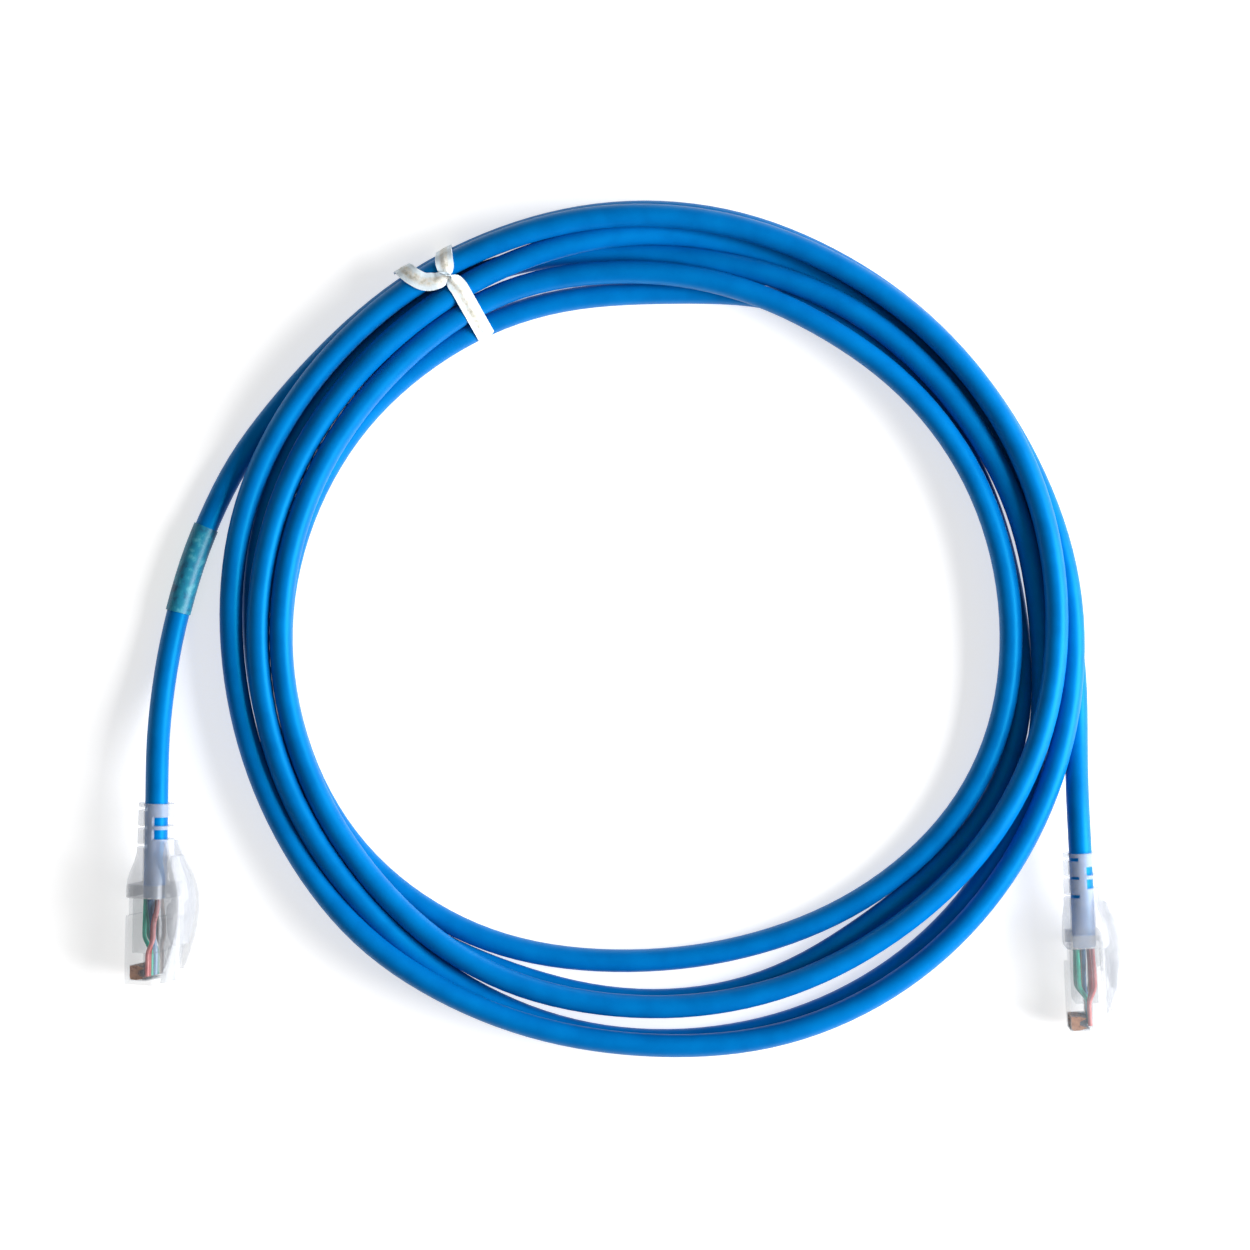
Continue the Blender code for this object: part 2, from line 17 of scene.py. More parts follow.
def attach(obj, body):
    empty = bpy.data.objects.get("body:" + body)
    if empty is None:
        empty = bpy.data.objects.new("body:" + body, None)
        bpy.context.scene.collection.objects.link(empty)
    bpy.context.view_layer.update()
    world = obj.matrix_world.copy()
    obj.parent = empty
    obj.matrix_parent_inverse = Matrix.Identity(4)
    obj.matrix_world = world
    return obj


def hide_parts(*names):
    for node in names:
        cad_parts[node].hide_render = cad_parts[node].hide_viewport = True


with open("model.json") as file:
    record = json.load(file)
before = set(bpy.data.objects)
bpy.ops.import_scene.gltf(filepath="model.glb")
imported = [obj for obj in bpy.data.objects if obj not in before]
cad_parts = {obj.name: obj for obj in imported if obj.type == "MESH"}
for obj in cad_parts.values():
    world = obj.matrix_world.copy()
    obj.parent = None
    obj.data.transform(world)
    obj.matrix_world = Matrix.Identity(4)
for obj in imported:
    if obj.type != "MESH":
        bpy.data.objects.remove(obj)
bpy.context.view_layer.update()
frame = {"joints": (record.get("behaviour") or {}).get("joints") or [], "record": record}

MM = 0.001
ENDS = ("a", "b")
WAYS = 8

# Jacket
CABLE_R = 2.5 * MM
CORD_SIDES = 24
ROUTE_STEP = 3.5 * MM           # spacing of the finished route's points
ROUTE_EASINGS = 6               # times that each of them is averaged with its neighbours
JACKET_INSIDE = (20.5, 13.0, 5.5, -2.0, -5.5)   # jacket points along a plug end, millimetres
TAIL_ROUTES = {
    "a": ((-101.7, -26.0, 7.2), (-100.7, -14.0, 4.6), (-99.0, -3.0, 3.3), (-96.3, 7.5, 3.2),
          (-93.4, 17.0, 3.2), (-89.1, 28.4, 3.0)),
    "b": ((97.6, -37.2, 7.4),),
}

# Coil: each turn's track, as read off, in (degrees clockwise from -X, radius in millimetres, layer)
COIL_CENTRE = (5.6 * MM, 0.0)
SECTIONS = 120                  # points in a turn
TURNS = (
    ((20, 97.5, 0), (24, 96.4, 0), (27, 94.9, 0), (30, 93.3, 0), (34, 92.3, 0), (40, 91.9, 0),
     (50, 91.3, 0), (60, 90.7, 0), (75, 90.5, 0), (90, 90.6, 0), (100, 89.8, 0), (110, 88.8, 0),
     (120, 88.2, 0), (150, 88.4, 0), (165, 89.6, 0.6), (178, 91.0, 1), (190, 92.1, 1.1),
     (197, 92.6, 1.2), (203, 93.2, 1.1), (230, 94.2, 1), (250, 93.4, 1), (256, 93.0, 1), (262, 91.6, 1),
     (268, 90.5, 1), (283, 90.5, 1), (300, 91.0, 0.8), (315, 91.5, 0.3), (330, 91.5, 0),
     (345, 91.2, 0)),
    ((0, 91.4, 0), (15, 92.6, 0.5), (22, 92.2, 0.8), (30, 91.6, 1), (40, 90.8, 1), (50, 90.4, 1),
     (60, 90.0, 1), (68, 89.6, 1), (75, 89.3, 1), (88, 88.9, 1.2), (100, 88.8, 1.1), (110, 87.8, 1.1),
     (120, 87.6, 1.1), (150, 88.1, 1.2), (165, 88.0, 1.5), (178, 87.7, 1.7), (190, 87.6, 1.5),
     (203, 87.3, 1), (218, 85.9, 1), (230, 84.0, 1), (250, 83.4, 1), (270, 82.5, 1), (283, 82.6, 1),
     (288, 83.3, 1), (293, 83.7, 1), (300, 83.3, 1), (315, 82.2, 1), (330, 81.4, 1), (345, 81.1, 1)),
    ((0, 80.9, 1), (20, 80.3, 1), (30, 80.0, 1), (40, 79.4, 1), (50, 79.3, 1), (60, 80.2, 1),
     (68, 79.8, 1), (75, 78.4, 0.6), (88, 76.4, 0), (97, 76.6, 0.4), (108, 75.4, 1), (120, 74.3, 1),
     (130, 75.4, 1), (150, 76.7, 1), (165, 77.3, 1), (178, 77.8, 1), (185, 78.3, 1), (190, 78.6, 1),
     (203, 79.1, 0.4), (218, 77.4, 0), (230, 75.2, 0), (242, 73.8, 0), (250, 72.5, 0), (270, 72.4, 0),
     (283, 74.1, 0), (293, 76.5, 0), (300, 78.0, 0), (307, 79.2, 0), (315, 80.9, 0), (330, 81.7, 0),
     (345, 81.3, 0)),
    ((0, 81.2, 0), (20, 79.3, 0), (30, 78.5, 0), (40, 77.7, 0), (50, 76.0, 0), (60, 75.1, 0),
     (68, 74.6, 0), (75, 73.5, 0), (90, 71.7, 0), (97, 71.9, 0), (102, 73.8, 0), (107, 76.0, 0),
     (112, 77.6, 0), (120, 78.0, 0), (150, 78.2, 0), (160, 77.7, 0), (178, 78.4, 0), (185, 80.4, 0),
     (190, 82.0, 0), (203, 84.9, 0), (218, 81.8, 0), (230, 79.7, 0), (238, 79.5, 0), (243, 80.4, 0),
     (250, 81.9, 0), (283, 81.7, 0), (288, 81.1, 0), (293, 81.0, 0), (300, 82.6, 0), (315, 85.4, 0),
     (330, 86.6, 0), (345, 86.4, 0)),
    ((0, 86.5, 0), (15, 88.3, 0), (30, 88.0, 0), (40, 87.0, 0), (50, 86.3, 0), (60, 86.8, 0),
     (68, 85.3, 0), (75, 83.5, 0), (81, 82.0, 0.2), (88, 81.0, 0.7), (94, 80.4, 1), (105, 80.4, 1),
     (115, 81.2, 1), (150, 82.0, 1), (165, 84.0, 0.6), (178, 83.0, 0), (185, 84.9, 0), (190, 86.6, 0),
     (203, 89.8, 0), (218, 91.0, 0), (230, 91.8, 0), (250, 91.4, 0), (270, 90.3, 0), (283, 90.1, 0),
     (293, 88.7, 0), (300, 88.3, 0.3), (315, 87.3, 0.8), (330, 86.6, 1), (345, 86.2, 1)),
    ((0, 85.5, 1), (15, 84.9, 1), (30, 84.4, 1), (40, 83.8, 1), (50, 83.3, 1), (60, 83.9, 1),
     (68, 84.8, 1), (75, 84.5, 1), (88, 86.0, 0), (100, 84.9, 0), (110, 84.2, 0), (120, 83.7, 0),
     (150, 83.6, 0), (160, 84.7, 0), (168, 87.3, 0), (178, 90.6, 0), (185, 92.0, 0), (190, 93.6, 0),
     (195, 95.5, 0)),
)
SWEEPS = 600                    # rounds of easing the strands apart
TRACK_PULL = 0.1                # share of the way back to its track that a strand takes in a round
SINK = 0.003 * MM               # how far a strand falls in a round
TRACK_EASINGS = 6               # times that the tracks are smoothed first
PUSHES = 3                      # times that touching strands are parted in a round

# Twist tie, at an angle round the coil. Its places are a radius and a shift along the coil.
TIE_ANGLE = 60.0
TIE_LIFT = 0.65 * MM            # how far the strands rise off the floor over the tie
TIE_REACH = 7.0                 # degrees to each side over which they rise
TIE_WIDTH = 3.9 * MM
TIE_HALF_T = 0.12 * MM
TIE_CORE = 0.22 * MM            # half thickness over the wire
TIE_KNOT = 87.4 * MM            # radius of the knot
TIE_KNOT_WIDTH = 2.3 * MM
TIE_KNOT_RISE = 0.55 * MM
TIE_KNOT_LENGTH = 1.3 * MM      # how far from the knot the band is narrowed
TIE_TWIST_LENGTH = 0.45 * MM    # how fast it turns over there
TIE_TOP = 11.0 * MM             # height of the band's top that the leg's places are given for
BAND_POINTS = 121
BAND_START = 0.2                # where the band's ends meet underneath, as a share of its length
TIE_LOOP = ((72.0, 0.3), (84.0, 0.4), (86.3, 0.0), (87.6, -0.4), (88.8, -0.2), (90.8, 0.5),
            (93.2, 1.6), (95.0, 1.8))
TIE_LEG = ((86.6, -0.1, 11.2), (87.4, -1.0, 11.3), (87.8, -3.2, 11.1), (89.0, -5.5, 10.9),
           (91.2, -7.0, 10.7), (93.2, -7.8, 9.8), (94.2, -8.1, 8.0), (94.4, -8.3, 5.8), (94.3, -8.4, 3.6))

# Label on tail A: distances along the jacket from inside the plug
LABEL_FROM = 62.5 * MM
LABEL_LENGTH = 19.5 * MM

# Plug ends
NOSE_Y = 39.0 * MM
NOSE_Z = -0.8 * MM              # the middle of the nose face, towards the latch
HOUSING_REAR_Y = 17.54
HOUSING_HALF_W = 5.84
HOUSING_HALF_H = 3.3
CLEARANCE = 0.3
BOOT_FRONT_Y = 20.2
BOOT_STATIONS = (               # distance from the mouth, half width, low z, high z, squareness
    (0.0, 3.75, -3.75, 3.75, 2.0), (0.5, 3.9, -3.9, 3.9, 2.0), (5.0, 4.0, -4.0, 4.0, 2.0),
    (10.4, 4.1, -4.1, 4.1, 2.0), (11.6, 4.45, -4.2, 4.15, 2.2), (12.8, 5.1, -4.3, 4.3, 2.5),
    (14.2, 6.1, -4.38, 4.45, 3.1), (15.6, 6.85, -4.4, 4.6, 3.9), (17.0, 7.2, -4.4, 4.7, 4.7),
    (19.8, 7.25, -4.4, 4.7, 5.4), (BOOT_FRONT_Y, 7.1, -4.3, 4.6, 5.4),
)
COLLAR_SLOTS = ((1.2, 0.8, -1), (3.8, 1.9, 1), (5.2, 0.7, -1), (6.6, 2.1, 1), (9.2, 0.8, -1))
CHEEK_THICKNESS = 1.0
CHEEK_STATIONS = (              # distance from the mouth, inner x, low z and top z
    (8.0, 2.4, 1.5, 3.7), (10.9, 2.8, 1.2, 4.9), (13.6, 3.8, 2.6, 6.2), (16.3, 4.45, 3.8, 7.4),
    (19.0, 4.7, 3.8, 8.1), (21.7, 4.75, 3.8, 8.3), (24.5, 4.75, 3.8, 8.2), (27.2, 4.75, 3.8, 7.8),
    (29.9, 4.75, 3.8, 7.1), (32.6, 4.75, 3.8, 6.3), (35.0, 4.75, 3.9, 5.4), (36.2, 4.75, 4.0, 4.8),
)
TONGUE_STATIONS = (             # distance from the mouth, z of the ridge, half width, drop of the edge
    (11.0, 5.3, 2.4, 0.3), (13.0, 6.1, 3.2, 1.2), (16.0, 7.3, 4.0, 1.6), (19.0, 8.15, 4.3, 2.0),
    (20.6, 8.3, 4.35, 2.0), (22.0, 8.4, 4.4, 3.1), (24.5, 8.15, 4.4, 2.8), (27.5, 7.5, 4.2, 2.0),
    (30.2, 6.85, 3.6, 0.8),
)
TONGUE_THICKNESS = 1.0

# Conductors, all in millimetres of the plug-end frame
PITCH = 1.02
WIRE_R = 0.45
WIRE_STARTS = ((1.3, 1.6), (0.2, 0.8), (1.3, -1.6), (1.9, -0.4),      # x and z at the jacket's end
               (0.6, -0.3), (0.2, -2.1), (-1.2, 1.1), (-1.2, -0.9))
WIRE_START_Y = 20.8
WIRE_SPREAD_Y = 27.0            # where they reach their ways
WIRE_DOWN_Y = 28.5              # where they start towards the flat row
WIRE_LEVEL_Y = 32.8             # where they are in it
WIRE_END_Y = 37.3
WIRE_ROW_Z = 0.2
WIRE_COLOURS = {                # two tones of each conductor, in the order of the ways
    "white_orange": ((0.90, 0.34, 0.33), (0.78, 0.20, 0.20)),
    "orange": ((0.62, 0.09, 0.08), (0.45, 0.05, 0.04)),
    "white_green": ((0.0, 0.72, 0.46), (0.0, 0.52, 0.34)),
    "blue": ((0.02, 0.16, 0.30), (0.01, 0.09, 0.22)),
    "white_blue": ((0.42, 0.62, 0.85), (0.30, 0.48, 0.75)),
    "green": ((0.0, 0.40, 0.27), (0.0, 0.26, 0.19)),
    "white_brown": ((0.55, 0.42, 0.34), (0.42, 0.30, 0.22)),
    "brown": ((0.16, 0.07, 0.03), (0.10, 0.04, 0.02)),
}


# ---------------------------------------------------------------- camera, floor and light

def make_stage():
    scene = bpy.context.scene
    scene.view_settings.view_transform = "Standard"

    camera = bpy.data.cameras.new("camera")
    camera.lens = 132.0
    camera.clip_end = 10.0
    eye = bpy.data.objects.new("camera", camera)
    eye.location = (-0.0003, 0.0002, 1.0)
    scene.collection.objects.link(eye)
    scene.camera = eye

    bpy.ops.mesh.primitive_plane_add(size=6.0, location=(0.0, 0.0, -0.00002))
    floor = bpy.context.active_object
    floor.name = "floor"
    paint = bpy.data.materials.new("floor")
    paint.use_nodes = True
    shader = paint.node_tree.nodes["Principled BSDF"]
    shader.inputs["Base Color"].default_value = (0.65, 0.65, 0.65, 1.0)
    shader.inputs["Roughness"].default_value = 0.9
    shader.inputs["Specular IOR Level"].default_value = 0.0
    shader.inputs["Emission Color"].default_value = (1.0, 1.0, 1.0, 1.0)
    shader.inputs["Emission Strength"].default_value = 0.62
    floor.data.materials.append(paint)

    world = bpy.data.worlds.new("world")
    world.use_nodes = True
    world.node_tree.nodes["Background"].inputs["Color"].default_value = (1.0, 1.0, 1.0, 1.0)
    world.node_tree.nodes["Background"].inputs["Strength"].default_value = 0.2
    scene.world = world

    add_light("key", (0.95, -0.1, 0.5), 27.0, 0.7)
    add_light("fill", (-0.2, 0.1, 1.4), 1.0, 0.9)


def add_light(name, place, power, size):
    light = bpy.data.lights.new(name, "AREA")
    light.energy = power
    light.size = size
    lamp = bpy.data.objects.new(name, light)
    lamp.location = place
    lamp.rotation_euler = (-Vector(place)).to_track_quat("-Z", "Y").to_euler()
    bpy.context.scene.collection.objects.link(lamp)


# ---------------------------------------------------------------- frames and routes

def end_matrix(end):
    """Plug-end frame in the world, from the latch's joint and the nose's mount."""
    mounts = {mount["name"]: mount for mount in frame["record"]["mounts"]}
    joints = {joint["name"]: joint for joint in frame["joints"]}
    nose = mounts["plug_nose_" + end]
    across = Vector(joints["latch_%s_press" % end]["axis"])
    ahead = Vector(nose["axis"])
    up = across.cross(ahead)
    matrix = Matrix((across, ahead, up)).transposed().to_4x4()
    matrix.translation = Vector(nose["pos_m"]) - ahead * NOSE_Y - up * NOSE_Z
    return matrix


def eased(values):
    """Each value averaged with its neighbours, the ends kept."""
    out = values.copy()
    out[1:-1] = (values[:-2] + 2 * values[1:-1] + values[2:]) / 4
    return out


def lay_turns():
    """Angle, radius and height of the coil's points, with its strands side by side or stacked."""
    keys = np.array([(360 * turn + angle, radius, layer)
                     for turn, track in enumerate(TURNS) for angle, radius, layer in track])
    step = 360 / SECTIONS
    angle = np.arange(keys[0, 0], keys[-1, 0] + step / 2, step)
    track = np.interp(angle, keys[:, 0], keys[:, 1]) * MM
    height = CABLE_R + 2 * CABLE_R * np.interp(angle, keys[:, 0], keys[:, 2])
    for _ in range(TRACK_EASINGS):
        track = eased(track)
    past_tie = (angle - TIE_ANGLE + 180) % 360 - 180
    rest = CABLE_R + TIE_LIFT * np.exp(-(past_tie / TIE_REACH) ** 2)
    radius = track.copy()
    for _ in range(SWEEPS):
        radius += TRACK_PULL * (track - radius)
        height = np.maximum(height - SINK, rest)
        radius, height = eased(radius), eased(height)
        for _ in range(PUSHES):
            push_r, push_z = np.zeros_like(radius), np.zeros_like(height)
            for lag in range(SECTIONS, len(angle), SECTIONS):
                outward = radius[lag:] - radius[:-lag]
                upward = height[lag:] - height[:-lag]
                apart = np.maximum(np.hypot(outward, upward), 1e-6)
                share = np.clip(2 * CABLE_R - apart, 0.0, None) / apart / 2
                push_r[lag:] += outward * share
                push_r[:-lag] -= outward * share
                push_z[lag:] += upward * share
                push_z[:-lag] -= upward * share
            radius += push_r
            height = np.maximum(height + push_z, rest)
    return angle, radius, height


def length_of(points):
    return sum((b - a).length for a, b in zip(points, points[1:]))


def evenly(points, start, length, step):
    """Evenly spaced points on part of a route."""
    xyz = np.array(points)
    along = np.concatenate(([0.0], np.cumsum(np.linalg.norm(np.diff(xyz, axis=0), axis=1))))
    wanted = np.linspace(start, start + length, int(length / step) + 1)
    return [Vector([np.interp(d, along, xyz[:, axis]) for axis in range(3)]) for d in wanted]


def catmull_rom(points, per_span=8):
    """A smooth curve through the given points, as a dense list of positions."""
    padded = [2 * points[0] - points[1], *points, 2 * points[-1] - points[-2]]
    curve = []
    for p0, p1, p2, p3 in zip(padded, padded[1:], padded[2:], padded[3:]):
        for k in range(per_span):
            t = k / per_span
            curve.append(0.5 * (2 * p1 + (p2 - p0) * t + (2 * p0 - 5 * p1 + 4 * p2 - p3) * t ** 2
                                + (3 * p1 - p0 - 3 * p2 + p3) * t ** 3))
    curve.append(points[-1].copy())
    return curve


def cord_route(turns):
    """The jacket's centreline from inside plug A, through the coil, to inside plug B."""
    angle, radius, height = turns
    x = COIL_CENTRE[0] - radius * np.cos(np.radians(angle))
    y = COIL_CENTRE[1] + radius * np.sin(np.radians(angle))
    coil = [Vector(point) for point in zip(x, y, height)]
    tails = {}
    for end in ENDS:
        matrix = end_matrix(end)
        inside = [matrix @ Vector((0.0, along * MM, 0.0)) for along in JACKET_INSIDE]
        tails[end] = inside + [Vector(point) * MM for point in TAIL_ROUTES[end]]
    head = catmull_rom(tails["a"][:-1] + coil[:3])
    rear = catmull_rom(coil[-3:] + tails["b"][::-1])
    route = head[:-1] + coil[2:-3] + rear
    for point in route:
        point.z = max(point.z, CABLE_R)
    xyz = np.array(evenly(route, 0.0, length_of(route), ROUTE_STEP))
    for _ in range(ROUTE_EASINGS):
        xyz = np.stack([eased(values) for values in xyz.T], axis=1)
    return [Vector(point) for point in xyz]


# ---------------------------------------------------------------- mesh helpers

def new_object(name, mesh, material=None):
    item = bpy.data.objects.new(name, mesh)
    bpy.context.scene.collection.objects.link(item)
    if material:
        mesh.materials.append(material)
    return item


def tube_mesh(name, points, radius, sides):
    """A tube along points, with UV running round it and, in metres, along it."""
    bm = bmesh.new()
    layer = bm.loops.layers.uv.new("UVMap")
    heading = (points[1] - points[0]).normalized()
    side = heading.orthogonal().normalized()
    rings, along = [], [0.0]
    for i, point in enumerate(points):
        ahead = points[min(i + 1, len(points) - 1)] - points[max(i - 1, 0)]
        turn = heading.rotation_difference(ahead)
        side = (turn @ side).normalized()
        heading = ahead.normalized()
        side = (side - heading * side.dot(heading)).normalized()
        other = heading.cross(side)
        ring = []
        for k in range(sides):
            angle = 2 * math.pi * k / sides
            ring.append(bm.verts.new(point + radius * (math.cos(angle) * side + math.sin(angle) * other)))
        rings.append(ring)
        if i:
            along.append(along[-1] + (point - points[i - 1]).length)
    for i in range(len(rings) - 1):
        for k in range(sides):
            j = (k + 1) % sides
            face = bm.faces.new((rings[i][k], rings[i][j], rings[i + 1][j], rings[i + 1][k]))
            corners = ((k, i), (k + 1, i), (k + 1, i + 1), (k, i + 1))
            for loop, (around, station) in zip(face.loops, corners):
                loop[layer].uv = (around / sides, along[station])
    bm.faces.new(rings[0][::-1])
    bm.faces.new(rings[-1])
    bmesh.ops.recalc_face_normals(bm, faces=bm.faces)
    mesh = bpy.data.meshes.new(name)
    bm.to_mesh(mesh)
    bm.free()
    mesh.shade_smooth()
    return mesh


def loft_mesh(name, sections, closed=True, capped=True):
    """Skin a run of sections with equal numbers of points, UV running across and along."""
    bm = bmesh.new()
    layer = bm.loops.layers.uv.new("UVMap")
    rings = [[bm.verts.new(point) for point in section] for section in sections]
    count = len(rings[0])
    spans = count if closed else count - 1
    for i in range(len(rings) - 1):
        for k in range(spans):
            j = (k + 1) % count
            face = bm.faces.new((rings[i][k], rings[i][j], rings[i + 1][j], rings[i + 1][k]))
            for loop, (across, along) in zip(face.loops, ((k, i), (k + 1, i), (k + 1, i + 1), (k, i + 1))):
                loop[layer].uv = (across / spans, along / (len(rings) - 1))
    if capped:
        bm.faces.new(rings[0])
        bm.faces.new(rings[-1])
    bmesh.ops.recalc_face_normals(bm, faces=bm.faces)
    mesh = bpy.data.meshes.new(name)
    bm.to_mesh(mesh)
    bm.free()
    return mesh


def box_mesh(name, low, high):
    bm = bmesh.new()
    bmesh.ops.create_cube(bm, size=1.0)
    for vert in bm.verts:
        vert.co = Vector([(b + a) / 2 + (b - a) * co for a, b, co in zip(low, high, vert.co)]) * MM
    mesh = bpy.data.meshes.new(name)
    bm.to_mesh(mesh)
    bm.free()
    return mesh


def combine(item, mesh, operation):
    """A boolean of the item with a mesh given in the item's own frame."""
    cutter = new_object("cutter", mesh)
    boolean = item.modifiers.new("boolean", "BOOLEAN")
    boolean.solver = "EXACT"
    boolean.operation = operation
    boolean.object = cutter
    bake(item)
    bpy.data.objects.remove(cutter, do_unlink=True)


def bake(item, sharp=None):
    """Apply the item's modifiers; with an angle, shade it smooth but for its sharper edges."""
    graph = bpy.context.evaluated_depsgraph_get()
    mesh = bpy.data.meshes.new_from_object(item.evaluated_get(graph))
    item.modifiers.clear()
    item.data = mesh
    if sharp:
        mesh.shade_smooth()
        mesh.set_sharp_from_angle(angle=math.radians(sharp))


def add_bevel(item, width, segments=3, angle=35.0):
    bevel = item.modifiers.new("bevel", "BEVEL")
    bevel.width = width * MM
    bevel.segments = segments
    bevel.limit_method = "ANGLE"
    bevel.angle_limit = math.radians(angle)


def smoothed(stations, per_span=4):
    """Stations with smooth in-between ones, as tuples of the same length."""
    rows = [np.array(station) for station in stations]
    return [tuple(row) for row in catmull_rom(rows, per_span)]


def superellipse(half_w, low, high, power, steps):
    """Points of a rounded section in X and Z, from a circle (power 2) to nearly a box."""
    middle, half_h = (low + high) / 2, (high - low) / 2
    points = []
    for k in range(steps):
        angle = 2 * math.pi * (k + 0.5) / steps
        c, s = math.cos(angle), math.sin(angle)
        points.append((half_w * math.copysign(abs(c) ** (2 / power), c),
                       middle + half_h * math.copysign(abs(s) ** (2 / power), s)))
    return points


# ---------------------------------------------------------------- materials

def add_node(material, kind, **settings):
    node = material.node_tree.nodes.new(kind)
    for key, value in settings.items():
        node.inputs[key.replace("_", " ")].default_value = value
    return node


def varied(name, tones, patch, roughness, grain=0.3, depth=0.02, stretch=(1, 1, 1), **inputs):
    """A shader whose colour and roughness vary over patches and whose surface has a fine grain.

    Tones are linear colours from the darkest patch to the lightest. Patch, grain and depth are
    sizes in millimetres; inputs are even values set on the shader itself.
    """
    material = bpy.data.materials.new(name)
    material.use_nodes = True
    nodes, links = material.node_tree.nodes, material.node_tree.links
    shader = nodes["Principled BSDF"]
    for key, value in inputs.items():
        shader.inputs[key.replace("_", " ")].default_value = value

    place = nodes.new("ShaderNodeTexCoord")
    mapping = add_node(material, "ShaderNodeMapping", Scale=stretch)
    links.new(place.outputs["Object"], mapping.inputs["Vector"])
    clouds = add_node(material, "ShaderNodeTexNoise", Scale=1 / (patch * MM), Detail=4.0)
    links.new(mapping.outputs["Vector"], clouds.inputs["Vector"])

    ramp = nodes.new("ShaderNodeValToRGB")
    stops = ramp.color_ramp.elements
    while len(stops) < len(tones):
        stops.new(0.5)
    for k, tone in enumerate(tones):
        stops[k].position = 0.32 + 0.36 * k / (len(tones) - 1)
        stops[k].color = (*tone, 1.0)
    links.new(clouds.outputs["Fac"], ramp.inputs["Fac"])
    links.new(ramp.outputs["Color"], shader.inputs["Base Color"])

    sheen = add_node(material, "ShaderNodeMapRange", To_Min=roughness[0], To_Max=roughness[1])
    links.new(clouds.outputs["Fac"], sheen.inputs["Value"])
    links.new(sheen.outputs["Result"], shader.inputs["Roughness"])

    speckle = add_node(material, "ShaderNodeTexNoise", Scale=1 / (grain * MM), Detail=2.0)
    links.new(mapping.outputs["Vector"], speckle.inputs["Vector"])
    bump = add_node(material, "ShaderNodeBump", Strength=0.6, Distance=depth * MM)
    links.new(speckle.outputs["Fac"], bump.inputs["Height"])
    links.new(bump.outputs["Normal"], shader.inputs["Normal"])
    return material


def tie_material():
    """White ribbon: bright film at the edges, greyer crimped paper over the wire."""
    material = varied("tie", ((0.55, 0.54, 0.45), (0.76, 0.74, 0.68), (0.68, 0.76, 0.76)), 0.9,
                      (0.45, 0.7), grain=0.5, depth=0.12)
    nodes, links = material.node_tree.nodes, material.node_tree.links
    shader = nodes["Principled BSDF"]
    paper = shader.inputs["Base Color"].links[0].from_socket
    uv = nodes.new("ShaderNodeTexCoord")
    split = nodes.new("ShaderNodeSeparateXYZ")
    links.new(uv.outputs["UV"], split.inputs["Vector"])
    edges = nodes.new("ShaderNodeValToRGB")
    stops = edges.color_ramp.elements
    stops[0].position, stops[0].color = 0.0, (1.0, 1.0, 1.0, 1.0)
    stops[1].position, stops[1].color = 1.0, (1.0, 1.0, 1.0, 1.0)
    for position, value in ((0.2, 0.9), (0.34, 0.0), (0.66, 0.0), (0.8, 0.9)):
        stops.new(position).color = (value, value, value, 1.0)
    links.new(split.outputs["X"], edges.inputs["Fac"])
    mix = nodes.new("ShaderNodeMix")
    mix.data_type = "RGBA"
    mix.inputs[7].default_value = (0.82, 0.93, 1.0, 1.0)
    links.new(edges.outputs["Color"], mix.inputs[0])
    links.new(paper, mix.inputs[6])
    links.new(mix.outputs[2], shader.inputs["Base Color"])
    return material


def make_materials():
    made = {
        "jacket": varied("jacket", ((0.0, 0.130, 0.43), (0.0, 0.145, 0.47), (0.0, 0.160, 0.50)), 6.0,
                         (0.38, 0.5), grain=0.5, depth=0.015, Specular_Tint=(0.0, 0.75, 1.0, 1.0)),
        "label": varied("label", ((0.0, 0.10, 0.20), (0.0, 0.19, 0.33), (0.0, 0.23, 0.36),
                                  (0.06, 0.36, 0.47)), 1.8, (0.3, 0.6), grain=0.4, depth=0.04),
        "tie": tie_material(),
        "clear_plastic": varied("clear_plastic", ((0.28, 0.32, 0.36), (0.48, 0.52, 0.57)), 4.0,
                                (0.06, 0.16), grain=0.8, depth=0.01, Alpha=0.18),
        "boot_plastic": varied("boot_plastic", ((0.54, 0.57, 0.62), (0.68, 0.70, 0.74)), 3.0,
                               (0.3, 0.45), grain=0.35, depth=0.02, Alpha=0.3),
        "gold": varied("gold", ((0.60, 0.24, 0.10), (0.86, 0.42, 0.20)), 1.0, (0.2, 0.4),
                       Metallic=0.5),
    }
    for colour, tones in WIRE_COLOURS.items():
        made["wire_" + colour] = varied("wire_" + colour, tones, 1.5, (0.35, 0.5), grain=0.2)
    return made


# ---------------------------------------------------------------- jacket, label and tie

def build_cord(route, material):
    cord = new_object("cable_jacket", tube_mesh("cable_jacket", route, CABLE_R, CORD_SIDES), material)
    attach(cord, "cable")
    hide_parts("cable_coil", "cable_tail_a", "cable_tail_b")
    return cord


def build_label(route, material):
    """A film rolled once round the tail, its outer edge lapping over the inner one."""
    points = evenly(route, LABEL_FROM, LABEL_LENGTH, 0.75 * MM)
    steps, lap = 44, 0.5
    sections = []
    for i, point in enumerate(points):
        ahead = (points[min(i + 1, len(points) - 1)] - points[max(i - 1, 0)]).normalized()
        side = ahead.cross(Vector((0, 0, 1))).normalized()
        rise = side.cross(ahead)
        ring = []
        for k in range(steps + 1):
            share = k / steps
            angle = -2.4 + (2 * math.pi + lap) * share
            radius = CABLE_R + (0.12 + 0.16 * share) * MM
            ring.append(point + radius * (math.cos(angle) * side + math.sin(angle) * rise))
        sections.append(ring)
    label = new_object("label_sleeve", loft_mesh("label_sleeve", sections, closed=False, capped=False),
                       material)
    film = label.modifiers.new("film", "SOLIDIFY")
    film.thickness = 0.1 * MM
    film.offset = 0.0
    bake(label, sharp=50)
    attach(label, "cable")
    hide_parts("tail_label")
    return label


